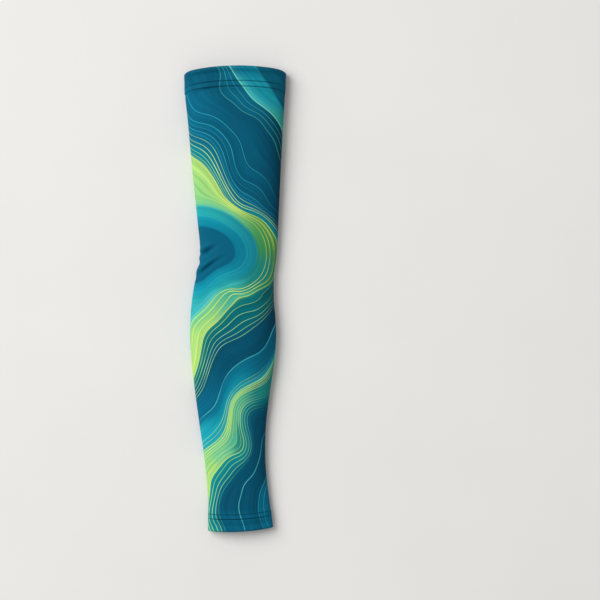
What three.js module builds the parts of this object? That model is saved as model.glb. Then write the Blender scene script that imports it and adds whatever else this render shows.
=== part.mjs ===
// Arm sleeve: a tapered tube of stretch knit with a turned hem at each end, lying on a table.
// Millimetres. +X runs across the sleeve, +Y towards its upper-arm end and +Z up from the table.
// The origin is on the table, under the middle of the sleeve.

import * as THREE from "three";
import { LoftGeometry } from "three/addons/geometries/LoftGeometry.js";

// Driving dimensions
const SLEEVE_LENGTH = 440;
const KNIT_THICKNESS = 1;
const HEM_THICKNESS = 2; // the knit is turned in, so a hem is two layers
const UPPER_HEM_DEPTH = 19;
const WRIST_HEM_DEPTH = 16;
const HEM_GAP = 0.3; // the sewn groove between a hem and the tube
const HEM_STEP = 0.4; // how far a hem stands proud of the tube

// Outline of the lying sleeve, a row for each section: its distance from the upper edge,
// its left and right sides seen from above, and its height above the table.
const SECTIONS = [
  { along: 0, left: -47.6, right: 47.6, height: 19.5 },
  { along: 23, left: -46.9, right: 46.8, height: 21.0 },
  { along: 45, left: -44.7, right: 45.5, height: 21.0 },
  { along: 78, left: -42.1, right: 43.9, height: 20.3 },
  { along: 108, left: -39.1, right: 42.4, height: 19.2 },
  { along: 146, left: -35.3, right: 40.7, height: 17.5 },
  { along: 170, left: -33.0, right: 39.5, height: 16.8 },
  { along: 184, left: -33.9, right: 38.2, height: 16.7 },
  { along: 198, left: -36.8, right: 36.4, height: 17.0 },
  { along: 221, left: -40.6, right: 36.3, height: 17.8 },
  { along: 238, left: -41.9, right: 37.9, height: 18.3 },
  { along: 258, left: -42.3, right: 38.5, height: 18.5 },
  { along: 282, left: -40.6, right: 36.4, height: 18.0 },
  { along: 312, left: -37.1, right: 32.0, height: 16.5 },
  { along: 342, left: -33.0, right: 28.7, height: 15.0 },
  { along: 372, left: -28.6, right: 28.3, height: 14.0 },
  { along: 403, left: -25.7, right: 30.9, height: 13.6 },
  { along: 424, left: -25.1, right: 33.4, height: 13.5 },
  { along: 440, left: -25.1, right: 35.3, height: 13.2 },
];

// Section shape: a crowned upper layer over a lower layer that lies flat on the table.
const SIDE_SHARE = 0.36; // height of the rounded sides, as a share of the section's height
const UPPER_SQUARENESS = 2.3; // superellipse exponents; 2 is an ellipse
const LOWER_SQUARENESS = 4;
const FLAT_SPREAD = 1.06; // over 1 widens the flat that lies on the table
const UPPER_FACETS = 28;
const LOWER_FACETS = 16;

// The two end edges are cut in an arch. Apex is a share of the half width, and corner rounds
// the arch off into the sides.
const UPPER_ARCH = { apex: 0.07, depth: 4.6, corner: 2.6, fade: 90 };
const WRIST_ARCH = { apex: -0.45, depth: 1.9, corner: 0.4, fade: 70 };
const CORNER_POWER = 14;

// Creases inside the elbow, a row for each: seen from above, from the side edge to the inner tip,
// bowed sideways, with half the crease's width and its depth.
const ELBOW_CREASES = [
  { fromX: -35.0, fromY: 38.8, toX: -21.5, toY: 48.8, bow: 0.6, halfWidth: 2.3, depth: 2.0 },
  { fromX: -38.0, fromY: 20.5, toX: -8.0, toY: 41.5, bow: 2.6, halfWidth: 2.7, depth: 2.8 },
];
const CREASE_PEAK = 0.4; // where along a crease it is deepest
const CREASE_EDGE_SHARE = 0.35; // depth left where it runs over the side edge
const RIDGE_SHARE = 0.4; // height of the rolls beside a crease, as a share of its depth
const RIDGE_OFFSET = 2.1; // their distance from the crease, in half widths

// Hem relief, a row for each ring: share of the hem's depth from its edge, and rise of the surface.
const HEM_RELIEF = [
  { share: 0.0, rise: -0.9 }, // folded edge
  { share: 0.07, rise: 0.1 },
  { share: 0.14, rise: 0.2 },
  { share: 0.28, rise: -0.2 },
  { share: 0.46, rise: 0.0 },
  { share: 0.67, rise: 0.1 },
  { share: 0.72, rise: -0.4 }, // row of needle holes
  { share: 0.77, rise: 0.2 },
  { share: 0.93, rise: 0.2 },
  { share: 1.0, rise: -0.3 },
];

// Spacing of the tube's rings
const RING_STEP = 12;
const CREASE_ZONE = { from: 166, to: 204, step: 2.6 };

const smooth = (value) => THREE.MathUtils.smoothstep(value, 0, 1);
const signedPower = (value, power) => Math.sign(value) * Math.abs(value) ** power;

// Left, right and height at any distance along, by a cubic through the table's rows.
const sectionCurve = new THREE.CubicInterpolant(
  SECTIONS.map((row) => row.along),
  SECTIONS.flatMap((row) => [row.left, row.right, row.height]),
  3,
);

function sectionAt(along, grown) {
  const [left, right, height] = sectionCurve.evaluate(along);
  return {
    middle: (left + right) / 2,
    halfWidth: (right - left) / 2 + grown,
    side: height * SIDE_SHARE,
    height: height + grown,
  };
}

// A point of one section, inset by a wall thickness. Turn 0 is the right side and a quarter the top.
function sectionPoint(section, turn, inset) {
  const across = Math.cos(turn);
  const up = Math.sin(turn);
  const halfWidth = section.halfWidth - inset;
  if (up >= 0) {
    const power = 2 / UPPER_SQUARENESS;
    const crown = section.height - section.side - inset;
    return {
      share: signedPower(across, power),
      x: section.middle + halfWidth * signedPower(across, power),
      z: section.side + crown * up ** power,
    };
  }
  const power = 2 / LOWER_SQUARENESS;
  const drop = (section.side - inset) * FLAT_SPREAD * Math.abs(up) ** power;
  return {
    share: signedPower(across, power),
    x: section.middle + halfWidth * signedPower(across, power),
    z: Math.max(inset, section.side - drop),
  };
}

// How far an arched end draws the cloth back from the straight cut.
function archDrop(arch, share, distance) {
  const curve = arch.depth * (share - arch.apex) ** 2;
  const corner = arch.corner * Math.abs(share) ** CORNER_POWER;
  return (curve + corner) * (1 - smooth(distance / arch.fade));
}

function lengthwise(along, share) {
  return (
    SLEEVE_LENGTH / 2 -
    along -
    archDrop(UPPER_ARCH, share, along) +
    archDrop(WRIST_ARCH, share, SLEEVE_LENGTH - along)
  );
}

// Rise of the upper layer at a place seen from above, from one crease and the rolls beside it.
function creaseRise(crease, x, y) {
  const run = new THREE.Vector2(crease.toX - crease.fromX, crease.toY - crease.fromY);
  const offset = new THREE.Vector2(x - crease.fromX, y - crease.fromY);
  const length = run.length();
  const t = offset.dot(run) / length ** 2;
  if (t > 1) return 0;
  const bowed = crease.bow * 4 * t * (1 - t);
  const aside = (run.cross(offset) / length - bowed) / crease.halfWidth;
  const grow = THREE.MathUtils.lerp(CREASE_EDGE_SHARE, 1, smooth(t / CREASE_PEAK));
  const fade = 1 - smooth((t - CREASE_PEAK) / (1 - CREASE_PEAK));
  const groove = Math.exp(-(aside ** 2));
  const rolls = RIDGE_SHARE * Math.exp(-((Math.abs(aside) - RIDGE_OFFSET) ** 2));
  return crease.depth * grow * fade * (rolls - groove);
}

// One closed ring of the sleeve's wall. Rise lifts the surface off the plain section, along its
// normal on the upper layer and fading out towards the table.
function wallRing({ along, grown, inset, rise }) {
  const section = sectionAt(along, grown);
  const turns = [
    ...Array.from({ length: UPPER_FACETS }, (_, i) => (Math.PI * i) / UPPER_FACETS),
    ...Array.from({ length: LOWER_FACETS }, (_, i) => Math.PI * (1 + i / LOWER_FACETS)),
  ];
  return turns.map((turn) => {
    const outer = sectionPoint(section, turn, 0);
    const wall = sectionPoint(section, turn, inset);
    const y = lengthwise(along, outer.share);
    const creased = ELBOW_CREASES.reduce((sum, row) => sum + creaseRise(row, outer.x, y), 0);
    const lift = (rise + creased) * smooth(outer.z / section.side);
    const normal = new THREE.Vector2(
      Math.cos(turn) / section.halfWidth,
      Math.max(0, Math.sin(turn)) / (section.height - section.side),
    ).normalize();
    return new THREE.Vector3(wall.x + lift * normal.x, y, wall.z + lift * normal.y);
  });
}

// A hollow wall: its outer rings from the upper end to the lower, then its inner rings back.
function hollowWall(rings, thickness, grown) {
  const outer = rings.map((ring) => wallRing({ ...ring, grown, inset: 0 }));
  const inner = rings.map((ring) => wallRing({ along: ring.along, rise: 0, grown, inset: thickness }));
  return new LoftGeometry([...outer, ...inner.reverse(), outer[0]]);
}

function evenSteps(from, to, step) {
  const count = Math.round((to - from) / step);
  return Array.from({ length: count }, (_, i) => from + ((to - from) * i) / count);
}

function tubeGeometry() {
  const start = UPPER_HEM_DEPTH + HEM_GAP / 2;
  const end = SLEEVE_LENGTH - WRIST_HEM_DEPTH - HEM_GAP / 2;
  const places = [
    ...evenSteps(start, CREASE_ZONE.from, RING_STEP),
    ...evenSteps(CREASE_ZONE.from, CREASE_ZONE.to, CREASE_ZONE.step),
    ...evenSteps(CREASE_ZONE.to, end, RING_STEP),
    end,
  ];
  return hollowWall(places.map((along) => ({ along, rise: 0 })), KNIT_THICKNESS, 0);
}

function upperHemGeometry() {
  const depth = UPPER_HEM_DEPTH - HEM_GAP / 2;
  const rings = HEM_RELIEF.map(({ share, rise }) => ({ along: share * depth, rise }));
  return hollowWall(rings, HEM_THICKNESS, HEM_STEP);
}

function wristHemGeometry() {
  const depth = WRIST_HEM_DEPTH - HEM_GAP / 2;
  const rings = HEM_RELIEF.map(({ share, rise }) => ({ along: SLEEVE_LENGTH - share * depth, rise }));
  return hollowWall(rings.reverse(), HEM_THICKNESS, HEM_STEP);
}

const printedKnit = new THREE.MeshStandardMaterial({ color: 0x17788f, roughness: 0.75, metalness: 0 });
const hemKnit = new THREE.MeshStandardMaterial({ color: 0x15657f, roughness: 0.75, metalness: 0 });

function piece(name, geometry, material) {
  const mesh = new THREE.Mesh(geometry, material);
  mesh.name = name;
  return mesh;
}

const armSleeve = new THREE.Group();
armSleeve.name = "arm_sleeve";
armSleeve.add(
  piece("sleeve_tube", tubeGeometry(), printedKnit),
  piece("upper_hem", upperHemGeometry(), hemKnit),
  piece("wrist_hem", wristHemGeometry(), hemKnit),
);

export default armSleeve;
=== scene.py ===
# Arm sleeve: a printed stretch-knit tube with a turned, twin-stitched hem at each end, laid flat.
import math
import bpy
import numpy as np
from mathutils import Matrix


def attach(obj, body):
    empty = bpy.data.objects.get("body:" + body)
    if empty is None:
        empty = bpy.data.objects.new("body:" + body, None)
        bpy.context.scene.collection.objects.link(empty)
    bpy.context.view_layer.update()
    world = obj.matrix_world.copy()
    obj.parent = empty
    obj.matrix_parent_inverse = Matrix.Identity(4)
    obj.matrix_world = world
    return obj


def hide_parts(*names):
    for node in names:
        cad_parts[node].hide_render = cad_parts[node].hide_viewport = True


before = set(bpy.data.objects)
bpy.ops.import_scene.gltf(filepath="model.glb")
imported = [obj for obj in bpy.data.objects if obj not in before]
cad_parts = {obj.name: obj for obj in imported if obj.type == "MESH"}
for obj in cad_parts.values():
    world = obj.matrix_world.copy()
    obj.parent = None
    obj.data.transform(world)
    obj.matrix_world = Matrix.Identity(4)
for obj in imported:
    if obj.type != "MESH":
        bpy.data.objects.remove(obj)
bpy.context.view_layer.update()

mm = 0.001
print("frame loaded:", ", ".join(sorted(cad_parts)))

# the sleeve's own shape, with the sections and arches of the CAD pieces
sleeve = {
    "length": 440 * mm,
    "knit": 1.0 * mm,  # one layer of cloth
    "sideShare": 0.36,  # height of the rounded sides
    "upperSquareness": 2.3,  # superellipse powers of the upper and lower layers
    "lowerSquareness": 4.0,
    "flatSpread": 1.06,
    "cornerPower": 14,
    "upperArch": {"apex": 0.07, "depth": 4.6 * mm, "corner": 2.6 * mm, "fade": 90 * mm},
    "wristArch": {"apex": -0.45, "depth": 1.9 * mm, "corner": 0.4 * mm, "fade": 70 * mm},
    # millimetres: from the upper edge, left side, right side, height
    "sections": [
        (0, -47.6, 47.6, 19.5),
        (23, -46.9, 46.8, 21.0),
        (45, -44.7, 45.5, 21.0),
        (78, -42.1, 43.9, 20.3),
        (108, -39.1, 42.4, 19.2),
        (146, -35.3, 40.7, 17.5),
        (170, -33.0, 39.5, 16.8),
        (184, -33.9, 38.2, 16.7),
        (198, -36.8, 36.4, 17.0),
        (221, -40.6, 36.3, 17.8),
        (238, -41.9, 37.9, 18.3),
        (258, -42.3, 38.5, 18.5),
        (282, -40.6, 36.4, 18.0),
        (312, -37.1, 32.0, 16.5),
        (342, -33.0, 28.7, 15.0),
        (372, -28.6, 28.3, 14.0),
        (403, -25.7, 30.9, 13.6),
        (424, -25.1, 33.4, 13.5),
        (440, -25.1, 35.3, 13.2),
    ],
    "ringSamples": 1440,
    "reliefFrom": 0.75,  # share of the half width where relief begins to die down
    "mergeDistance": 0.01 * mm,
}

# creases inside the elbow and a pucker under the upper hem, in millimetres, seen from above, from
# the side edge to the tip
elbow = {
    "creases": [
        {"start": (-35.0, 39.9), "tip": (-14.0, 51.1), "bow": 0.5, "halfWidth": 2.0, "depth": 3.3},
        {"start": (-37.5, 19.5), "tip": (-5.0, 42.0), "bow": 2.2, "halfWidth": 1.6, "depth": 2.6},
        {"start": (-37.0, 195.2), "tip": (-5.0, 198.8), "bow": 0.9, "halfWidth": 1.3, "depth": 1.3},
    ],
    "peak": 0.32,  # where along a crease it is deepest
    "edgeShare": 0.12,  # depth left at the side edge
    "rollShare": 0.5,  # the roll above a crease
    "farShare": 0.15,  # and the one below it
    "rollOffset": 2.2,  # their distance from it, in half widths
    # notches in the side edge: place along the sleeve, half width and depth (below zero, a bulge)
    "notches": [(46.6, 2.8, 1.0), (40.6, 3.0, -0.7), (34.4, 3.0, 0.9)],
    "notchFrom": 0.6,  # share of the half width where a notch begins
}


def smooth(t):
    t = np.clip(t, 0, 1)
    return t * t * (3 - 2 * t)


def sectionAt(along):  # left, right and height by a cubic through the rows
    rows = np.array(sleeve["sections"]) * mm
    place, values = rows[:, 0], rows[:, 1:]
    rise = np.diff(values, axis=0) / np.diff(place)[:, None]
    slope = np.empty_like(values)
    slope[1:-1] = (values[2:] - values[:-2]) / (place[2:] - place[:-2])[:, None]
    slope[0] = 1.5 * rise[0] - 0.5 * slope[1]
    slope[-1] = 1.5 * rise[-1] - 0.5 * slope[-2]
    i = np.clip(np.searchsorted(place, along, "right") - 1, 0, len(place) - 2)
    span = (place[i + 1] - place[i])[:, None]
    t = (along - place[i])[:, None] / span
    start = (1 + 2 * t) * (1 - t) ** 2 * values[i] + t * (1 - t) ** 2 * span * slope[i]
    end = t * t * (3 - 2 * t) * values[i + 1] + t * t * (t - 1) * span * slope[i + 1]
    return (start + end).T


def archDrop(arch, share, distance):  # how far an arched end draws the cloth back
    curve = arch["depth"] * (share - arch["apex"]) ** 2
    corner = arch["corner"] * np.abs(share) ** sleeve["cornerPower"]
    return (curve + corner) * (1 - smooth(distance / arch["fade"]))


def lengthwise(along, share):
    upper = archDrop(sleeve["upperArch"], share, along)
    wrist = archDrop(sleeve["wristArch"], share, sleeve["length"] - along)
    return sleeve["length"] / 2 - along - upper + wrist


def creaseRise(x, y):  # lift of the cloth from the creases
    total = np.zeros_like(x)
    for crease in elbow["creases"]:
        startX, startY = (value * mm for value in crease["start"])
        runX, runY = (tip * mm - start for tip, start in zip(crease["tip"], (startX, startY)))
        size = math.hypot(runX, runY)
        t = ((x - startX) * runX + (y - startY) * runY) / size**2
        bowed = crease["bow"] * mm * 4 * t * (1 - t)
        aside = (runX * (y - startY) - runY * (x - startX)) / size - bowed
        aside = aside / (crease["halfWidth"] * mm)
        grow = elbow["edgeShare"] + (1 - elbow["edgeShare"]) * smooth(t / elbow["peak"])
        fade = 1 - smooth((t - elbow["peak"]) / (1 - elbow["peak"]))
        groove = np.exp(-(aside**2))
        rolls = elbow["rollShare"] * np.exp(-((aside - elbow["rollOffset"]) ** 2))
        rolls = rolls + elbow["farShare"] * np.exp(-((aside + elbow["rollOffset"]) ** 2))
        total += np.where(t > 1, 0, crease["depth"] * mm * grow * fade * (rolls - groove))
    return total


def notchShift(y):  # how far the left side edge is drawn in
    shift = np.zeros_like(y)
    for place, width, depth in elbow["notches"]:
        shift += depth * mm * np.exp(-(((y / mm - place) / width) ** 2))
    return shift


# points of the cloth for rows along the sleeve and even shares round it, from the underside's middle
def clothSurface(along, shares, depth, grown, reliefFade=0.0):
    left, right, height = (value[:, None] for value in sectionAt(along))
    middle, half = (left + right) / 2, (right - left) / 2 + grown
    side = height * sleeve["sideShare"]
    turn = np.linspace(-0.5 * math.pi, 1.5 * math.pi, sleeve["ringSamples"] + 1)
    across, up = np.cos(turn), np.sin(turn)
    power = np.where(up >= 0, 2 / sleeve["upperSquareness"], 2 / sleeve["lowerSquareness"])
    share = np.sign(across) * np.abs(across) ** power
    crown = np.abs(up) ** power
    x = middle + half * share
    z = side + np.where(up >= 0, (height + grown - side) * crown, -side * sleeve["flatSpread"] * crown)
    z = np.maximum(z, 0)
    run = np.hypot(np.diff(x), np.diff(z))
    arc = np.concatenate([np.zeros((len(along), 1)), np.cumsum(run, axis=1)], axis=1)
    crownArc = arc[:, sleeve["ringSamples"] // 2]
    x, z = [
        np.stack([np.interp(shares * ring[-1], ring, row) for ring, row in zip(arc, rows)])
        for rows in (x, z)
    ]
    stepX, stepZ = np.gradient(x, axis=1), np.gradient(z, axis=1)
    stepX[:, 0] = stepX[:, -1] = (x[:, 1] - x[:, -2]) / 2
    stepZ[:, 0] = stepZ[:, -1] = (z[:, 1] - z[:, -2]) / 2
    size = np.hypot(stepX, stepZ)
    outX, outZ = stepZ / size, -stepX / size
    share = (x - middle) / half
    y = lengthwise(along[:, None], share)
    proud = smooth(z / side)  # nothing stands proud under the sleeve, where it lies on the table
    deep = depth[:, None]
    fade = np.reshape(reliefFade, (-1, 1))
    level = 1 - fade * smooth((np.abs(share) - sleeve["reliefFrom"]) / (1 - sleeve["reliefFrom"]))
    lift = np.where(deep > 0, -deep * level, -deep * level * proud) + creaseRise(x, y) * proud
    x = x + notchShift(y) * smooth((-share - elbow["notchFrom"]) / (1 - elbow["notchFrom"]))
    points = np.stack([x + outX * lift, y, np.maximum(z + outZ * lift, 0)], axis=-1)
    printX = middle + crownArc[:, None] - shares[None, :] * arc[:, -1:]
    return points, printX, y


# the flowing wave print, in millimetres from the sleeve's middle
wavePrint = {
    "eddyHeight": 44,  # the waves part round an eddy at the elbow
    "sink": {"depth": 4, "from": -30, "over": 70},  # and part lower on the right
    "halves": (70, 10),  # from here to here the upper waves turn into the lower ones
    # climb of the upper and lower waves away from the eddy, steeper on the left, with a step beside it
    "slant": (0.76, 0.64),
    "lean": {"reach": 70, "share": 0.06, "slope": 0.0055, "width": 45},
    "roundness": 25,
    "valley": (28, 30),
    "valleyReach": 34,
    "valleyPower": 5,
    "upright": {"from": 228, "share": 0.85, "softness": 9},  # lines stand up near the wrist
    # each wave grows from a distance off the eddy, and the upper one is calmer at the hem
    "upperWave": {
        "height": 4.5, "length": 58, "place": 4, "run": (0.96, -0.28), "from": 30, "over": 40,
        "hemCalm": 0.7, "hemFrom": 175, "hemOver": 35,
    },
    "lowerWave": {"height": 5.5, "length": 62, "place": 40, "run": (0.89, 0.45), "from": 50, "over": 40},
    "eddy": {
        "middle": (-36, 43),
        "reach": (37, 26),
        "rise": 35,
        "rings": (1.6, 1.95),  # from here to here the waves take over
        "stretch": 0.15,  # rings lie wider apart high above the eddy
        "under": 0.9,  # and a little wider under it
        # but are drawn up at one place, with a reach to its left and right
        "pinchAt": -14.5,
        "pinchReach": (15, 27),
        "ringPinch": 0.75,  # of the rings, dying down below, further down on the right
        "pinchFade": {"near": 30, "far": 37, "from": -20, "over": 20},
        "edgePinch": 0.56,  # of the edge where the waves take over
    },
    # middle, reach, level and strength of places where the waves crowd together (or part)
    "pinches": [
        (-8, 226, 30, 127, 0.8), (-6, 103, 18, 50, 0.3), (2, 86, 15, 33, 0.2), (4, -104, 20, 119, 0.6),
        (-44, -46, 30, 36, -0.35),
    ],
    # lines fan out from the right side below the elbow
    "fan": {"middle": (33, -14), "across": 28, "above": 20, "below": 44, "height": -25},
    # middle, reach and height of single swells
    "swells": [
        (0, 224, 30, -5), (-19, 217, 12, -6), (-50, 194, 38, 12), (-10, 190, 14, 7), (-42, 170, 14, 2),
        (8, 178, 11, 3.5), (20, 168, 18, -14), (-32, 152, 22, -4), (36, 150, 12, -4), (6, 147, 18, -9),
        (-12, 104, 22, -5), (-40, 98, 20, 8), (16, 80, 14, -5), (44, 74, 12, 9), (2, 11, 13, 2.5),
        (23, 8, 9, 2.5), (-46, -22, 20, 5), (43, -26, 14, 10), (-38, -44, 20, -2), (14, -56, 14, 5),
        (-38, -70, 26, -2), (-4, -97, 14, 4), (24, -102, 22, 8), (-27, -112, 16, 6), (9, -142, 16, -12),
        (-3, -150, 15, 9), (30, -134, 13, 5), (33, -168, 12, -6), (9, -174, 10, 4), (6, -188, 20, 4),
        (25, -206, 13, 2.5), (-25, -184, 14, -5), (-34, -212, 16, 8), (-6, -216, 18, -4), (14, -226, 16, -3),
    ],
}


def waveHalf(y):
    top, bottom = wavePrint["halves"]
    return smooth((top - y) / (top - bottom))


def waveLevel(x, y):  # the print's colours and lines follow lines of equal level
    down = waveHalf(y)
    sink, lean, upright = wavePrint["sink"], wavePrint["lean"], wavePrint["upright"]
    sunk = sink["depth"] * down * smooth((x - sink["from"]) / sink["over"])
    away = np.abs(y - wavePrint["eddyHeight"] + sunk)
    leaning = lean["share"] - lean["slope"] * np.clip(x, -lean["width"], lean["width"])
    rounded = away * (1 + np.exp(-((away / lean["reach"]) ** 2)) * leaning)
    upperSlant, lowerSlant = wavePrint["slant"]
    upperValley, lowerValley = wavePrint["valley"]
    slant = upperSlant + (lowerSlant - upperSlant) * down
    valley = upperValley + (lowerValley - upperValley) * down
    climb = np.sqrt(rounded**2 + wavePrint["roundness"] ** 2) - wavePrint["roundness"]
    atEddy = np.exp(-((rounded / wavePrint["valleyReach"]) ** wavePrint["valleyPower"]))
    level = x + slant * climb + valley * (1 - atEddy)
    past = np.logaddexp(0, (away - upright["from"]) / upright["softness"])
    level = level - upright["share"] * upright["softness"] * past * down
    wave = wavePrint["upperWave"]
    runX, runY = wave["run"]
    swing = np.sin(2 * math.pi * (runX * x + runY * away + wave["place"]) / wave["length"])
    calm = 1 - wave["hemCalm"] * smooth((y - wave["hemFrom"]) / wave["hemOver"])
    calm = smooth((away - wave["from"]) / wave["over"]) * calm
    level = level - wave["height"] * (1 - down) * calm * swing
    wave = wavePrint["lowerWave"]
    runX, runY = wave["run"]
    swing = np.cos(2 * math.pi * (runX * x + runY * y + wave["place"]) / wave["length"])
    level = level + wave["height"] * down * smooth((away - wave["from"]) / wave["over"]) * swing
    fan = wavePrint["fan"]
    rise = y - fan["middle"][1]
    fade = np.where(rise > 0, (rise / fan["above"]) ** 4, (rise / fan["below"]) ** 2)  # sharper above
    fade = fade + ((x - fan["middle"][0]) / fan["across"]) ** 2
    level = level + fan["height"] * np.exp(-fade)
    for middleX, middleY, reach, height in wavePrint["swells"]:
        level = level + height * np.exp(-((x - middleX) ** 2 + (y - middleY) ** 2) / reach**2)
    for middleX, middleY, reach, centre, strength in wavePrint["pinches"]:
        near = np.exp(-((x - middleX) ** 2 + (y - middleY) ** 2) / reach**2)
        level = level + strength * (level - centre) * near
    eddy = wavePrint["eddy"]
    across = (x - eddy["middle"][0]) / eddy["reach"][0]
    up = y - eddy["middle"][1]
    leftReach, rightReach = eddy["pinchReach"]
    beside = x - eddy["pinchAt"]
    narrow = np.exp(-((beside / leftReach) ** 2))
    wide = np.exp(-((beside / np.where(beside > 0, rightReach, leftReach)) ** 2))
    dying = eddy["pinchFade"]
    reach = dying["near"] + (dying["far"] - dying["near"]) * smooth((x - dying["from"]) / dying["over"])
    pinch = eddy["ringPinch"] * wide * np.exp(-((up / reach) ** 2))
    ringUp = np.where(up < 0, up * (eddy["under"] + pinch), up)
    edgeUp = np.where(up < 0, up * (eddy["under"] + eddy["edgePinch"] * narrow), up)
    tall = eddy["reach"][1] + eddy["stretch"] * np.maximum(up - eddy["reach"][1], 0)
    ring = eddy["rise"] * (np.hypot(across, ringUp / tall) - 1)
    edge = np.hypot(across, edgeUp / tall)
    first, last = eddy["rings"]
    return ring + (level - ring) * smooth((edge - first) / (last - first))


def waveSlope(x, y):
    step = 0.05
    level = waveLevel(x, y)
    return np.hypot(waveLevel(x + step, y) - level, waveLevel(x, y + step) - level) / step


def deselectAll():
    if bpy.context.mode != "OBJECT":
        bpy.ops.object.mode_set(mode="OBJECT")
    bpy.ops.object.select_all(action="DESELECT")


# a flat panel of cloth as a grid, with the shares across it and each vertex's column and row
def cutPanel(name, columns, rows):
    deselectAll()
    bpy.ops.mesh.primitive_grid_add(x_subdivisions=columns, y_subdivisions=rows, size=1, calc_uvs=False)
    panel = bpy.context.object
    panel.name = panel.data.name = name
    flat = np.empty(len(panel.data.vertices) * 3)
    panel.data.vertices.foreach_get("co", flat)
    flat = flat.reshape(-1, 3)
    shares, column = np.unique(np.round(flat[:, 0] + 0.5, 6), return_inverse=True)
    row = np.unique(np.round(flat[:, 1] + 0.5, 6), return_inverse=True)[1]
    return panel, shares, column, row


def addMap(panel, name, u, v):  # a UV map from values at the panel's vertices
    corners = np.empty(len(panel.data.loops), dtype=np.int64)
    panel.data.loops.foreach_get("vertex_index", corners)
    layer = panel.data.uv_layers.new(name=name)
    layer.data.foreach_set("uv", np.stack([u[corners], v[corners]], axis=-1).astype(np.float32).ravel())


# moves the panel's vertices to the sleeve's surface, maps the print and sews the seam underneath
def wrapPanel(panel, points, printX, printY, column, row):
    panel.data.vertices.foreach_set("co", points[row, column].astype(np.float32).ravel())
    x, y = printX[row, column] / mm, printY[row, column] / mm
    addMap(panel, "knitPlace", x, y)
    addMap(panel, "waveLevel", waveLevel(x, y), waveSlope(x, y))
    panel.data.update()
    bpy.context.view_layer.objects.active = panel
    bpy.ops.object.mode_set(mode="EDIT")
    bpy.ops.mesh.select_all(action="SELECT")
    bpy.ops.mesh.remove_doubles(threshold=sleeve["mergeDistance"])
    bpy.ops.mesh.normals_make_consistent(inside=False)
    bpy.ops.object.mode_set(mode="OBJECT")
    crown = max(panel.data.polygons, key=lambda face: face.center.z)
    if crown.normal.z < 0:
        bpy.ops.object.mode_set(mode="EDIT")
        bpy.ops.mesh.flip_normals()
        bpy.ops.object.mode_set(mode="OBJECT")
    bpy.ops.object.shade_smooth()


# helpers for the material nodes
def linear(colour):  # from sRGB, 0 to 255
    parts = (part / 255 for part in colour)
    return [p / 12.92 if p <= 0.04045 else ((p + 0.055) / 1.055) ** 2.4 for p in parts] + [1]


def addNode(tree, kind, **settings):
    node = tree.nodes.new(kind)
    for key, value in settings.items():
        setattr(node, key, value)
    return node


def connect(tree, source, socket):
    if isinstance(source, bpy.types.NodeSocket):
        tree.links.new(source, socket)
    else:
        socket.default_value = source


def calc(tree, operation, *values, clamp=False):
    node = addNode(tree, "ShaderNodeMath", operation=operation, use_clamp=clamp)
    for value, socket in zip(values, node.inputs):
        connect(tree, value, socket)
    return node.outputs[0]


def remap(tree, value, fromLow, fromHigh, toLow=0.0, toHigh=1.0, kind="SMOOTHSTEP"):
    node = addNode(tree, "ShaderNodeMapRange", interpolation_type=kind)
    for source, socket in zip((value, fromLow, fromHigh, toLow, toHigh), node.inputs):
        connect(tree, source, socket)
    return node.outputs[0]


def mixColour(tree, share, first, second, blend="MIX"):
    node = addNode(tree, "ShaderNodeMix", data_type="RGBA", blend_type=blend)
    for source, socket in zip((share, first, second), (node.inputs[0], node.inputs[6], node.inputs[7])):
        connect(tree, source, socket)
    return node.outputs[2]


def combine(tree, x, y, z=0.0):
    node = addNode(tree, "ShaderNodeCombineXYZ")
    for source, socket in zip((x, y, z), node.inputs):
        connect(tree, source, socket)
    return node.outputs[0]


def noise(tree, vector, scale, detail=2.0):
    node = addNode(tree, "ShaderNodeTexNoise", noise_dimensions="2D")
    connect(tree, vector, node.inputs["Vector"])
    node.inputs["Scale"].default_value = scale
    node.inputs["Detail"].default_value = detail
    return node.outputs["Fac"]


def readMap(tree, name):
    source = addNode(tree, "ShaderNodeUVMap", uv_map=name)
    split = addNode(tree, "ShaderNodeSeparateXYZ")
    tree.links.new(source.outputs[0], split.inputs[0])
    return split.outputs[0], split.outputs[1]


inks = {
    "navy": (4, 80, 106),
    # painted shade: the next two inks darken the right side of the cloth, which turns away from the light
    "deep": (2, 64, 88),
    "paintedEdgeShade": (0, 46, 64),
    "marine": (5, 88, 115),
    "slate": (6, 94, 122),
    "teal": (6, 102, 132),
    "sea": (8, 126, 138),
    "deepSea": (4, 104, 112),
    "blue": (10, 124, 150),
    "turquoise": (16, 148, 168),
    "tide": (26, 162, 178),
    "wedge": (24, 142, 158),
    "lagoon": (36, 162, 166),
    "aqua": (66, 184, 190),
    "mint": (108, 198, 152),
    "leaf": (130, 202, 129),
    "lime": (148, 206, 120),
    "glow": (170, 212, 115),
    "yellow": (216, 238, 112),
    "wheat": (208, 244, 138),
    "straw": (156, 216, 142),
    "pale": (44, 154, 172),
    "foam": (110, 206, 176),
    "spray": (72, 178, 188),
    "reed": (56, 150, 142),
    "jade": (58, 172, 146),
    # the next four inks are partly the print's own greens and teals and partly painted shade of the right
    # side of the cloth
    "greenAndPaintedShade": (58, 138, 74),
    "mossAndPaintedShade": (44, 126, 84),
    "pineAndPaintedShade": (10, 82, 86),
    "tealAndPaintedShade": (16, 124, 122),
    "kelp": (30, 132, 120),
    "surf": (18, 142, 138),
    "wedgeGreen": (44, 146, 130),
}

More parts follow.
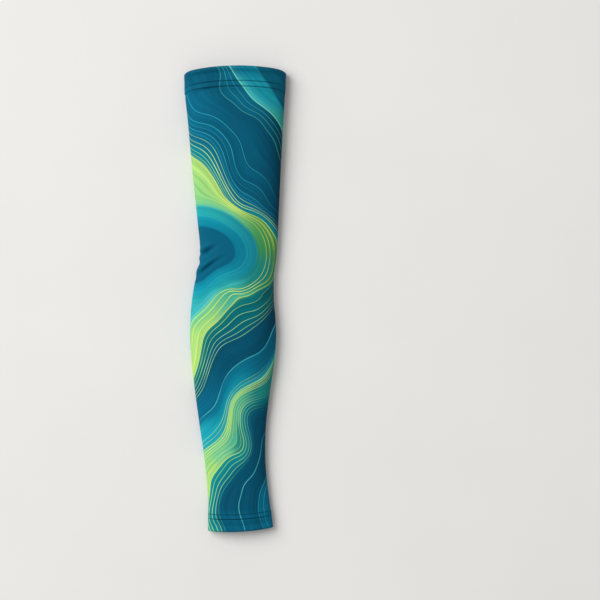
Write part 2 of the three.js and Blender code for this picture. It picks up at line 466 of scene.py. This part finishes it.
inkPlan = {
    "levels": (-60, 200),
    # level in millimetres and ink
    "upper": [
        (-60, "teal"), (-14, "slate"), (-0.6, "slate"), (0.2, "blue"), (9.6, "turquoise"), (10.4, "lagoon"),
        (19.6, "lagoon"), (20.4, "mint"), (25, "leaf"), (31, "lime"), (42.8, "glow"), (44, "sea"),
        (52, "sea"), (60, "teal"), (70, "marine"), (98, "marine"), (116.6, "navy"), (117.6, "slate"),
        (137, "teal"), (138.4, "aqua"), (150, "wedge"), (178, "wedge"), (182, "teal"), (200, "teal"),
    ],
    "lower": [
        (-60, "teal"), (-14, "slate"), (-0.6, "slate"), (0.2, "blue"), (10, "turquoise"), (19, "lagoon"),
        (25, "aqua"), (29, "mint"), (34, "leaf"), (38, "lime"), (42.6, "glow"), (43.6, "kelp"),
        (48.5, "deepSea"), (56, "marine"), (62, "navy"), (83.4, "navy"), (84.2, "teal"), (92, "blue"),
        (99, "turquoise"), (106.8, "lagoon"), (108, "mint"), (112, "leaf"), (122, "lime"), (130, "glow"),
        (131.2, "lime"), (131.9, "surf"), (139.5, "sea"), (146, "marine"), (150, "navy"), (176, "navy"),
        (177.4, "teal"), (200, "teal"),
    ],
    # lines of equal level: the first one's level, the step to the next, half width in millimetres, the
    # half of the print, and from where to where across it they come in; lines that fade out towards the
    # right side are dimmed there partly by painted shade of the side that turns from the light
    "lines": [
        {"first": 10.0, "step": 1.0, "count": 1, "halfWidth": 0.32, "ink": "pale", "half": "both"},
        {"first": 29.0, "step": 4.6, "count": 4, "halfWidth": 0.26, "ink": "yellow", "half": "upper",
         "across": (-30, 0), "layering": 0.1},
        {"first": 29.0, "step": 4.6, "count": 4, "halfWidth": 0.28, "ink": "yellow", "half": "lower",
         "layering": 0.14, "across": (54, 14)},
        {"first": 37.0, "step": 5.8, "count": 2, "halfWidth": 0.30, "ink": "yellow", "half": "upper",
         "layering": 0.1, "share": 0.6},
        {"first": 45.8, "step": 2.7, "count": 2, "halfWidth": 0.24, "ink": "straw", "half": "upper",
         "across": (4, -16)},
        {"first": 51.6, "step": 3.6, "count": 2, "halfWidth": 0.33, "ink": "wheat", "half": "upper",
         "share": 0.85, "across": (56, 14)},
        {"first": 60.6, "step": 1.0, "count": 1, "halfWidth": 0.30, "ink": "straw", "half": "upper",
         "across": (50, 8)},
        {"first": 67.0, "step": 10.6, "count": 3, "halfWidth": 0.34, "ink": "pale", "half": "upper",
         "across": (50, 14)},
        {"first": 63.6, "step": 8.4, "count": 2, "halfWidth": 0.28, "ink": "pale", "half": "upper",
         "layering": 0.0, "share": 0.6, "across": (44, 8)},
        {"first": 117.5, "step": 6.6, "count": 3, "halfWidth": 0.28, "ink": "reed", "half": "upper"},
        {"first": 117.5, "step": 1.0, "count": 1, "halfWidth": 0.42, "ink": "reed", "half": "upper",
         "share": 0.8},
        {"first": 137.8, "step": 1.0, "count": 1, "halfWidth": 0.40, "ink": "foam", "half": "upper"},
        {"first": 46.2, "step": 3.5, "count": 5, "halfWidth": 0.27, "ink": "straw", "half": "lower",
         "across": (50, 4)},
        {"first": 83.8, "step": 1.0, "count": 1, "halfWidth": 0.40, "ink": "spray", "half": "lower"},
        {"first": 100.0, "step": 3.6, "count": 2, "halfWidth": 0.25, "ink": "straw", "half": "lower",
         "across": (40, -6)},
        {"first": 107.5, "step": 2.3, "count": 4, "halfWidth": 0.26, "ink": "yellow", "half": "lower",
         "layering": 0.14, "share": 0.85, "across": (54, 10)},
        {"first": 119.0, "step": 4.4, "count": 3, "halfWidth": 0.24, "ink": "straw", "half": "lower",
         "across": (32, -8)},
        {"first": 131.4, "step": 3.7, "count": 4, "halfWidth": 0.31, "ink": "straw", "half": "lower",
         "across": (30, -6)},
        {"first": 131.4, "step": 1.0, "count": 1, "halfWidth": 0.3, "ink": "wheat", "half": "lower",
         "across": (22, -4), "share": 0.8},
        {"first": 146.2, "step": 1.0, "count": 1, "halfWidth": 0.28, "ink": "jade", "half": "lower",
         "across": (24, -6)},
        {"first": 162.0, "step": 1.0, "count": 1, "halfWidth": 0.40, "ink": "spray", "half": "lower",
         "across": (48, 8)},
        {"first": 176.8, "step": 5.4, "count": 2, "halfWidth": 0.28, "ink": "pale", "half": "lower"},
    ],
    # second inks over some levels: where they come in and go out, and from where to where in the print
    "shades": [
        {"levels": (0, 1, 19.8, 20.6), "across": (-22, 20), "ink": "teal", "share": 0.6, "half": "both"},
        {"levels": (21, 26, 42, 43.4), "across": (-26, -4), "ink": "jade", "share": 0.9, "half": "lower"},
        {"levels": (28, 32, 41, 43), "across": (-31, -40), "along": (-20, -34), "ink": "glow", "share": 0.85,
         "half": "lower"},
        # partly the print's own darker green, partly painted shade: the green band darkens towards the right
        # side
        {"levels": (19.2, 20.2, 43, 44), "across": (-8, 26), "along": (18, 44), "ink": "greenAndPaintedShade",
         "share": 0.9, "half": "both"},
        {"levels": (19.2, 20.4, 43, 44), "across": (4, 30), "ink": "mossAndPaintedShade", "share": 0.92, "half": "lower"},
        # partly the print's own teal, partly painted shade: darker teal on the right below the eddy
        {"levels": (17, 20, 33, 41), "across": (-6, 18), "along": (48, 30), "ink": "tealAndPaintedShade", "share": 0.78,
         "half": "both"},
        {"levels": (86, 92, 104, 107), "across": (-8, 30), "ink": "teal", "share": 0.75, "half": "lower"},
        {"levels": (84, 86, 98, 104), "across": (2, 32), "ink": "navy", "share": 0.7, "half": "lower"},
        {"levels": (86, 90, 106, 107.4), "across": (-6, -20), "along": (-104, -126), "ink": "tide",
         "share": 0.85, "half": "lower"},
        {"levels": (108, 110, 128, 131), "along": (-120, -134), "beyond": (1.0, 0.5, -100.0, -91.0),
         "ink": "mint", "share": 0.7, "half": "lower"},
        {"levels": (112, 117, 130.8, 131.8), "across": (-14, 2), "ink": "jade", "share": 0.8,
         "half": "lower"},
        {"levels": (121, 126, 131, 131.8), "across": (-5, 4), "along": (-110, -126), "ink": "kelp",
         "share": 0.9, "half": "lower"},
        # partly painted shade: the lower green band turns dark teal towards the right side
        {"levels": (106, 112, 131, 131.8), "across": (2, 21), "ink": "tealAndPaintedShade", "share": 0.95,
         "half": "lower"},
        {"levels": (108, 112, 130.8, 131.8), "along": (-178, -202), "ink": "sea", "share": 0.9,
         "half": "lower"},
        # darker at the top, where the hem folds over: partly painted shade of the fold
        {"levels": (137, 139, 168, 171), "along": (200, 216), "ink": "teal", "share": 0.75, "half": "upper"},
        {"levels": (137, 139, 150, 160), "along": (188, 168), "ink": "wedgeGreen", "share": 0.8,
         "half": "upper"},
        # lighter towards the left: partly the print's own tone, partly painted light on the side that faces
        # the light
        {"levels": (46, 60, 108, 120), "across": (5, -48), "ink": "teal", "share": 0.85, "half": "upper"},
        {"levels": (46, 60, 114, 118), "along": (194, 206), "ink": "navy", "share": 0.6, "half": "upper"},
        # painted shade: the next two darken the upper half towards the right side, where the cloth turns from
        # the light
        {"levels": (46, 60, 136, 139), "across": (14, 44), "ink": "deep", "share": 0.85, "half": "upper"},
        {"levels": (46, 60, 136, 139), "across": (32, 54), "ink": "paintedEdgeShade", "share": 0.8, "half": "upper"},
        {"levels": (139, 140, 199, 200), "beyond": (0.82, 0.573, 140.5, 143.0), "ink": "navy", "share": 0.9,
         "half": "upper"},
        {"levels": (43.4, 45, 54, 62), "across": (-16, 16), "ink": "deepSea", "share": 0.85, "half": "lower"},
        # partly the print's own dark green, partly painted shade towards the right side
        {"levels": (43.4, 46, 58, 64), "across": (14, 36), "ink": "pineAndPaintedShade", "share": 0.8, "half": "lower"},
        {"levels": (58, 66, 84, 85), "across": (8, -20), "along": (-55, -100), "ink": "teal", "share": 0.85,
         "half": "lower"},
        # painted shade: the next two darken the lower half towards the right side, where the cloth turns from
        # the light
        {"levels": (50, 62, 82, 85), "across": (6, 40), "ink": "deep", "share": 0.9, "half": "lower"},
        {"levels": (56, 64, 82, 85), "across": (24, 48), "ink": "paintedEdgeShade", "share": 0.6, "half": "lower"},
        {"levels": (131.2, 132.2, 140, 147), "across": (4, 26), "ink": "deepSea", "share": 0.85,
         "half": "lower"},
        # painted shade: darker towards the right side
        {"levels": (134, 144, 174, 177), "across": (6, 36), "ink": "deep", "share": 0.7, "half": "lower"},
        {"levels": (144, 150, 174, 177), "along": (-198, -206), "ink": "teal", "share": 0.45,
         "half": "lower"},
    ],
    "softness": 0.14,  # of a line's edge
    "layering": 0.24,  # light and dark across a ribbon between two lines
    # streaks along the flow, from where in the levels they begin
    "streaks": {"across": 0.55, "along": 0.012, "noise": (0.25, 0.75), "tone": (0.87, 1.13), "from": (-4, 6)},
    "hand": {"scale": 0.03, "noise": (0.3, 0.6), "strength": (0.5, 1.0), "sway": 0.3, "swayLength": 2.3},
}


def inkRamp(tree, position, stops):
    node = addNode(tree, "ShaderNodeValToRGB")
    low, high = inkPlan["levels"]
    elements = node.color_ramp.elements
    while len(elements) < len(stops):
        elements.new(0.5)
    for element, (level, ink) in zip(elements, stops):
        element.position = (level - low) / (high - low)
    for element, (level, ink) in zip(elements, stops):  # once all of them are in order
        element.color = linear(inks[ink])
    tree.links.new(position, node.inputs[0])
    return node.outputs[0]


def toned(tree, colour, tone):  # darker or lighter by a factor
    return mixColour(tree, 1.0, colour, combine(tree, tone, tone, tone), blend="MULTIPLY")


def printedColour(tree):  # the wave print from the piece's own maps
    level, slope = readMap(tree, "waveLevel")
    placeX, placeY = readMap(tree, "knitPlace")
    low, high = inkPlan["levels"]
    lower = remap(tree, placeY, *wavePrint["halves"])
    sides = {"upper": calc(tree, "SUBTRACT", 1.0, lower), "lower": lower}
    wrapped = calc(tree, "WRAP", level, high, low)
    position = remap(tree, wrapped, low, high, kind="LINEAR")
    upperInk = inkRamp(tree, position, inkPlan["upper"])
    lowerInk = inkRamp(tree, position, inkPlan["lower"])
    colour = mixColour(tree, lower, upperInk, lowerInk)
    # second inks over some levels; some of them are painted shade towards the right side, one is painted
    # light on the left
    for shade in inkPlan["shades"]:
        fadeIn, whole, still, gone = shade["levels"]
        cover = calc(tree, "MULTIPLY", remap(tree, wrapped, fadeIn, whole), remap(tree, wrapped, gone, still))
        for key, place in (("across", placeX), ("along", placeY)):
            if key in shade:
                cover = calc(tree, "MULTIPLY", cover, remap(tree, place, *shade[key]))
        if "beyond" in shade:  # past a slanting line
            shareX, shareY, fadeIn, whole = shade["beyond"]
            slanting = calc(tree, "MULTIPLY_ADD", placeX, shareX, calc(tree, "MULTIPLY", placeY, shareY))
            cover = calc(tree, "MULTIPLY", cover, remap(tree, slanting, fadeIn, whole))
        if shade["half"] in sides:
            cover = calc(tree, "MULTIPLY", cover, sides[shade["half"]])
        cover = calc(tree, "MULTIPLY", cover, shade["share"])
        colour = mixColour(tree, cover, colour, linear(inks[shade["ink"]]))
    # faint streaks of ink along the flow
    streaks = inkPlan["streaks"]
    acrossFlow = calc(tree, "MULTIPLY", level, streaks["across"])
    alongFlow = calc(tree, "MULTIPLY", placeY, streaks["along"])
    tone = noise(tree, combine(tree, acrossFlow, alongFlow), 1.0)
    tone = remap(tree, tone, *streaks["noise"], *streaks["tone"], kind="LINEAR")
    tone = calc(tree, "SUBTRACT", tone, 1.0)
    tone = calc(tree, "MULTIPLY_ADD", tone, remap(tree, wrapped, *streaks["from"]), 1.0)
    colour = toned(tree, colour, tone)
    # lines drawn with an uneven hand
    hand = inkPlan["hand"]
    pressure = noise(tree, combine(tree, placeX, placeY), hand["scale"])
    pressure = remap(tree, pressure, *hand["noise"], *hand["strength"], kind="LINEAR")
    sway = calc(tree, "SINE", calc(tree, "DIVIDE", wrapped, hand["swayLength"]))
    lineLevel = calc(tree, "MULTIPLY_ADD", sway, hand["sway"], wrapped)
    soft = inkPlan["softness"]
    for row in inkPlan["lines"]:
        last = row["count"] - 1
        index = calc(tree, "DIVIDE", calc(tree, "SUBTRACT", lineLevel, row["first"]), row["step"])
        nearest = calc(tree, "ROUND", index)
        nearest = calc(tree, "MINIMUM", calc(tree, "MAXIMUM", nearest, 0.0), last)
        offset = calc(tree, "ABSOLUTE", calc(tree, "SUBTRACT", index, nearest))
        distance = calc(tree, "DIVIDE", calc(tree, "MULTIPLY", offset, row["step"]), slope)
        if last > 0:  # the ribbons between lines lie like layers
            inside = calc(tree, "MULTIPLY", remap(tree, index, -1.0, 0.0), remap(tree, index, last + 1, last))
            if row["half"] in sides:
                inside = calc(tree, "MULTIPLY", inside, sides[row["half"]])
            layer = calc(tree, "SUBTRACT", calc(tree, "FRACT", index), 0.5)
            layer = calc(tree, "MULTIPLY", layer, inside)
            tone = calc(tree, "MULTIPLY_ADD", layer, row.get("layering", inkPlan["layering"]), 1.0)
            colour = toned(tree, colour, tone)
        line = remap(tree, distance, row["halfWidth"] + soft, row["halfWidth"] - soft)
        line = calc(tree, "MULTIPLY", line, calc(tree, "MULTIPLY", pressure, row.get("share", 1.0)))
        # fading across the print; towards the right side this is partly painted shade
        if "across" in row:
            line = calc(tree, "MULTIPLY", line, remap(tree, placeX, *row["across"]))
        if row["half"] in sides:
            line = calc(tree, "MULTIPLY", line, sides[row["half"]])
        colour = mixColour(tree, line, colour, linear(inks[row["ink"]]))
    return colour, placeX, placeY


knit = {
    "wale": 0.75,  # width of a column of loops and height of a row, in millimetres
    "course": 0.6,
    "loopShare": 0.3,  # height of the loops beside that of their columns
    "bump": 0.35,
    "bumpDepth": 0.12 * mm,
    "patches": {"scale": 0.05, "noise": (0.3, 0.7), "roughness": (0.7, 0.82)},
    "specular": 0.05,
    "sheen": 0.03,
    "sheenRoughness": 0.4,
}


def knitLoops(tree, placeX, placeY):  # height of the jersey's rows of loops
    wale = calc(tree, "DIVIDE", placeX, knit["wale"])
    leg = calc(tree, "PINGPONG", wale, 0.5)
    course = calc(tree, "ADD", calc(tree, "DIVIDE", placeY, knit["course"]), leg)
    loop = calc(tree, "SINE", calc(tree, "MULTIPLY", course, 2 * math.pi))
    column = calc(tree, "SINE", calc(tree, "MULTIPLY", leg, 2 * math.pi))
    return calc(tree, "MULTIPLY_ADD", loop, knit["loopShare"], column)


def newMaterial(name):
    material = bpy.data.materials.new(name)
    material.use_nodes = True
    tree = material.node_tree
    return material, tree, tree.nodes["Principled BSDF"]


def knitFinish(tree, shader, placeX, placeY):
    bump = addNode(tree, "ShaderNodeBump")
    bump.inputs["Strength"].default_value = knit["bump"]
    bump.inputs["Distance"].default_value = knit["bumpDepth"]
    tree.links.new(knitLoops(tree, placeX, placeY), bump.inputs["Height"])
    tree.links.new(bump.outputs[0], shader.inputs["Normal"])
    patches = knit["patches"]
    worn = noise(tree, combine(tree, placeX, placeY), patches["scale"])
    worn = remap(tree, worn, *patches["noise"], *patches["roughness"], kind="LINEAR")
    tree.links.new(worn, shader.inputs["Roughness"])
    shader.inputs["Specular IOR Level"].default_value = knit["specular"]
    shader.inputs["Sheen Weight"].default_value = knit["sheen"]
    shader.inputs["Sheen Roughness"].default_value = knit["sheenRoughness"]


def printedKnit():
    material, tree, shader = newMaterial("printedKnit")
    colour, placeX, placeY = printedColour(tree)
    tree.links.new(colour, shader.inputs["Base Color"])
    knitFinish(tree, shader, placeX, placeY)
    return material


reverse = {"dark": (176, 204, 206), "light": (204, 220, 220), "mottle": 0.4, "detail": 3.0}


def plainReverse():  # the unprinted inner face
    material, tree, shader = newMaterial("plainReverse")
    placeX, placeY = readMap(tree, "knitPlace")
    mottle = noise(tree, combine(tree, placeX, placeY), reverse["mottle"], reverse["detail"])
    colour = mixColour(tree, mottle, linear(reverse["dark"]), linear(reverse["light"]))
    tree.links.new(colour, shader.inputs["Base Color"])
    knitFinish(tree, shader, placeX, placeY)
    return material


printMaterial = printedKnit()
reverseMaterial = plainReverse()
print("materials made: printed knit, plain reverse")

# the turned hems, from the seam over the outside to the fold and back inside: distance from the edge
# as a share of the hem's depth, and depth below the cloth's face in millimetres
hemShape = {
    "columns": 180,
    "grown": 0.6 * mm,
    "rows": 150,
    "curveSteps": 24,
    "reliefFade": 0.92,  # share of the relief that dies down towards the sides
    "seam": [(1.0, 1.0), (0.985, 0.32)],  # depths of seam and needle are shares of each hem's own
    "band": [(0.955, -0.25), (0.87, -0.4), (0.79, -0.3), (0.764, 0.05)],
    "needle": [(0.735, 1.0)],
    "turn": [
        (0.706, 0.15), (0.66, 0.05), (0.57, 0.35), (0.47, 0.8), (0.37, 1.15), (0.30, 1.0), (0.24, 0.4),
        (0.18, -0.4), (0.13, -0.75), (0.08, -0.65), (0.035, -0.05), (0.01, 0.5), (0.0, 1.0), (0.015, 1.7),
        (0.06, 2.1), (0.27, 2.1), (0.6, 2.1), (0.97, 2.1), (1.0, 1.7),
    ],
}

# the tube of knit between the hems
tube = {
    "columns": 180,
    "start": 19.6 * mm,
    "end": 423.9 * mm,
    # millimetres from a hem's seam and depth of the surface there
    "seamDip": [
        (0.0, 0.95), (0.35, 0.35), (0.8, 0.05), (2.2, 0.45), (3.6, 1.0), (5.0, 1.3), (8.0, 1.25),
        (14.0, 0.7), (24.0, 0.0),
    ],
    "wristDip": 0.5,  # the wrist's seam is softer
    "grown": 0.3 * mm,
    "elbowRows": (160 * mm, 208 * mm, 1.0 * mm),  # from, to and step
    "rowStep": 2.05 * mm,
    # closer rows beside a seam, in millimetres from it, and how far they go
    "seamRows": (0.0, 0.15, 0.35, 0.6, 0.9, 1.4, 2.0, 3.0, 4.0, 5.5),
    "seamZone": 7 * mm,
}


def evenRows(first, last, step):
    count = max(1, round((last - first) / step))
    return np.linspace(first, last, count, endpoint=False)


def sleeveTube():
    seamRows = np.array(tube["seamRows"]) * mm
    elbowFrom, elbowTo, elbowStep = tube["elbowRows"]
    first, last = tube["start"] + tube["seamZone"], tube["end"] - tube["seamZone"]
    along = np.concatenate([
        tube["start"] + seamRows,
        evenRows(first, elbowFrom, tube["rowStep"]),
        evenRows(elbowFrom, elbowTo, elbowStep),
        evenRows(elbowTo, last, tube["rowStep"]),
        [last],
        (tube["end"] - seamRows)[::-1],
    ])
    panel, shares, column, row = cutPanel("sleeve_cloth", tube["columns"], len(along) - 1)
    away = np.minimum(along - tube["start"], tube["end"] - along) / mm
    place, dip = np.array(tube["seamDip"]).T
    softer = np.where(along < sleeve["length"] / 2, 1.0, tube["wristDip"])
    depth = np.interp(away, place, dip) * softer * mm
    points, printX, printY = clothSurface(along, shares, depth, tube["grown"], hemShape["reliefFade"])
    wrapPanel(panel, points, printX, printY, column, row)
    area = sum(face.area for face in panel.data.polygons)
    wall = panel.modifiers.new("knitWall", "SOLIDIFY")
    wall.thickness = sleeve["knit"]
    wall.offset = -1
    wall.material_offset = 1
    bpy.ops.object.modifier_apply(modifier="knitWall")
    panel.data.materials.append(printMaterial)
    panel.data.materials.append(reverseMaterial)
    return panel, area


tubePiece, tubeArea = sleeveTube()
print("sleeve tube:", len(tubePiece.data.polygons), "faces,", round(tubeArea, 4), "square metres of cloth")

# where along the sleeve a hem's fold lies, which way the hem runs from it, and how deep the seam and
# the needle row draw the cloth in, in millimetres
upperHem = {"depth": 19.5 * mm, "edge": 0.0, "way": 1, "seam": 0.95, "needle": 0.9}
wristHem = {"depth": 16.0 * mm, "edge": sleeve["length"], "way": -1, "seam": 0.5, "needle": 1.15}


def smoothLoop(points, count):  # a closed curve through the points, evenly stepped
    around = np.vstack([points[-1:], points, points[:2]])
    samples = []
    for before, first, last, after in zip(around, around[1:], around[2:], around[3:]):
        t = np.linspace(0, 1, hemShape["curveSteps"], endpoint=False)[:, None]
        samples.append(0.5 * (
            2 * first + (last - before) * t + (2 * before - 5 * first + 4 * last - after) * t**2
            + (3 * first - before - 3 * last + after) * t**3
        ))
    curve = np.vstack(samples + [points[:1]])
    run = np.concatenate([[0], np.cumsum(np.hypot(*np.diff(curve, axis=0).T))])
    even = np.linspace(0, run[-1], count + 1)
    return np.stack([np.interp(even, run, curve[:, k]) for k in (0, 1)], axis=-1)


def turnedHem(name, hem):
    seam = np.array(hemShape["seam"]) * (1.0, hem["seam"])
    needle = np.array(hemShape["needle"]) * (1.0, hem["needle"])
    profile = np.vstack([seam, hemShape["band"], needle, hemShape["turn"]]) * (hem["depth"] / mm, 1.0)
    loop = smoothLoop(profile, hemShape["rows"])
    loop[-1] = loop[0]
    fold, crest = (int(np.argmin(loop[:, k])) for k in (0, 1))
    run = np.concatenate([[0], np.cumsum(np.hypot(*np.diff(loop, axis=0).T))]) * mm
    distance, depth = np.maximum(loop[:, 0], 0) * mm, loop[:, 1] * mm
    along = hem["edge"] + hem["way"] * distance
    panel, shares, column, row = cutPanel(name, hemShape["columns"], len(along) - 1)
    inside = np.arange(len(along)) > fold
    fade = np.where(inside, 0.0, hemShape["reliefFade"])
    fade[-1] = fade[0]
    points, printX, printY = clothSurface(along, shares, depth, hemShape["grown"], fade)
    past = np.arange(len(along)) > crest  # the print follows the cloth round the fold
    printY[past] = printY[crest] + hem["way"] * (run[past] - run[crest])[:, None]
    wrapPanel(panel, points, printX, printY, column, row)
    panel.data.materials.append(printMaterial)
    return panel


upperPiece = turnedHem("upper_hem_cloth", upperHem)
wristPiece = turnedHem("wrist_hem_cloth", wristHem)
print("hems:", len(upperPiece.data.polygons), "and", len(wristPiece.data.polygons), "faces")

# two needle rows round each hem
stitch = {
    "length": 2.7 * mm,
    "steps": 10,
    "thread": 0.2 * mm,
    "bed": 0.12,  # height of the thread's bed over the groove's deepest line, in millimetres
    "above": 0.1 * mm,  # the thread's middle over the bed
    "dip": 0.55 * mm,  # and how far it dives between two stitches
    "diveWidth": 0.12,  # share of a stitch
    "seamRow": 1.004,  # place of the row at the seam, as a share of the hem's depth
    "girthSamples": 721,
    "dark": (4, 62, 82),
    "light": (10, 84, 106),
    "mottle": 900.0,
    "roughness": 0.6,
    "specular": 0.1,
}


def sewingThread():
    material, tree, shader = newMaterial("sewingThread")
    coords = addNode(tree, "ShaderNodeTexCoord")
    mottle = noise(tree, coords.outputs["Object"], stitch["mottle"])
    colour = mixColour(tree, mottle, linear(stitch["dark"]), linear(stitch["light"]))
    tree.links.new(colour, shader.inputs["Base Color"])
    shader.inputs["Roughness"].default_value = stitch["roughness"]
    shader.inputs["Specular IOR Level"].default_value = stitch["specular"]
    return material


threadMaterial = sewingThread()


def needleRow(name, along, floor):  # one thread that dives through the cloth at each stitch
    place = np.array([along])
    outline = clothSurface(place, np.linspace(0, 1, stitch["girthSamples"]), np.array([0.0]), 0.0)[0][0]
    girth = np.hypot(*np.diff(outline, axis=0).T[::2]).sum()
    count = round(girth / stitch["length"]) * stitch["steps"]
    shares = np.arange(count) / count
    phase = (np.arange(count) % stitch["steps"]) / stitch["steps"]
    dive = np.exp(-((np.minimum(phase, 1 - phase) / stitch["diveWidth"]) ** 2))
    top, deep = floor - stitch["above"], floor + stitch["dip"]
    topFade = hemShape["reliefFade"]
    deepFade = 1 - (top * (1 - topFade) + stitch["dip"]) / deep  # the dive goes on where the groove fades
    loops = []
    for depth, fade in ((top, topFade), (deep, deepFade)):
        points = clothSurface(place, shares, np.array([depth]), hemShape["grown"], fade)[0]
        loops.append(points[0])
    path = loops[0] + (loops[1] - loops[0]) * dive[:, None]
    deselectAll()
    bpy.ops.mesh.primitive_circle_add(vertices=count, radius=1)
    row = bpy.context.object
    row.name = row.data.name = name
    row.data.vertices.foreach_set("co", path.astype(np.float32).ravel())
    row.data.update()
    bpy.ops.object.convert(target="CURVE")
    row.data.bevel_depth = stitch["thread"]
    row.data.bevel_resolution = 1
    bpy.ops.object.convert(target="MESH")
    row = bpy.context.object
    bpy.ops.object.shade_smooth()
    row.data.materials.append(threadMaterial)
    return row


stitchRows = []
for name, hem in (("upper", upperHem), ("wrist", wristHem)):
    rows = [(hemShape["needle"][0][0], hem["needle"]), (stitch["seamRow"], hem["seam"])]
    for number, (share, depth) in enumerate(rows, 1):
        along = hem["edge"] + hem["way"] * share * hem["depth"]
        floor = (depth - stitch["bed"]) * mm
        stitchRows.append((needleRow(f"{name}_stitch_row_{number}", along, floor), f"{name}_hem"))
print("stitch rows:", [len(row.data.polygons) for row, node in stitchRows], "faces")


def declare(piece, node):
    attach(piece, "root")
    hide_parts(node)


declare(tubePiece, "sleeve_tube")
declare(upperPiece, "upper_hem")
declare(wristPiece, "wrist_hem")
for row, node in stitchRows:
    declare(row, node)

# camera straight above, at the photograph's framing
view = {
    "lens": 135,
    "sensor": 36,
    "frame": 567.8 * mm,  # width in view, at the plane's height above the table
    "plane": 7 * mm,
    "middle": (61.4 * mm, -0.8 * mm),
}
cameraData = bpy.data.cameras.new("overheadCamera")
cameraData.lens = view["lens"]
cameraData.sensor_width = view["sensor"]
camera = bpy.data.objects.new("overheadCamera", cameraData)
height = view["lens"] / view["sensor"] * view["frame"] + view["plane"]
camera.location = (*view["middle"], height)
bpy.context.scene.collection.objects.link(camera)
bpy.context.scene.camera = camera

# pale table
tabletop = {
    "size": 40,
    "dark": (229, 228, 226),
    "light": (233, 232, 230),
    "grain": 9.0,
    "detail": 4.0,
    "roughness": 0.9,
    "specular": 0.1,
}
deselectAll()
bpy.ops.mesh.primitive_plane_add(size=tabletop["size"], location=(0, 0, 0))
table = bpy.context.object
table.name = "pale_table"
tableMaterial, tree, shader = newMaterial("paleTable")
coords = addNode(tree, "ShaderNodeTexCoord")
grain = noise(tree, coords.outputs["Object"], tabletop["grain"], tabletop["detail"])
tableColour = mixColour(tree, grain, linear(tabletop["dark"]), linear(tabletop["light"]))
tree.links.new(tableColour, shader.inputs["Base Color"])
shader.inputs["Roughness"].default_value = tabletop["roughness"]
shader.inputs["Specular IOR Level"].default_value = tabletop["specular"]
table.data.materials.append(tableMaterial)

# soft light from the upper left and a pale room
light = {
    "from": (-0.62, 0.32, 0.715),
    "distance": 4.4,
    "size": 4.0,
    "power": 186,
    "room": 0.435,
    "roomColour": (1.0, 0.99, 0.975, 1),
}
keyData = bpy.data.lights.new("softbox", "AREA")
keyData.shape = "DISK"
keyData.size = light["size"]
keyData.energy = light["power"]
key = bpy.data.objects.new("softbox", keyData)
key.location = [part * light["distance"] for part in light["from"]]
key.rotation_euler = key.location.to_track_quat("Z", "Y").to_euler()
bpy.context.scene.collection.objects.link(key)
world = bpy.data.worlds.new("paleRoom")
world.use_nodes = True
background = world.node_tree.nodes["Background"]
background.inputs["Color"].default_value = light["roomColour"]
background.inputs["Strength"].default_value = light["room"]
bpy.context.scene.world = world
bpy.context.scene.view_settings.view_transform = "Standard"
print("camera, table and light set")
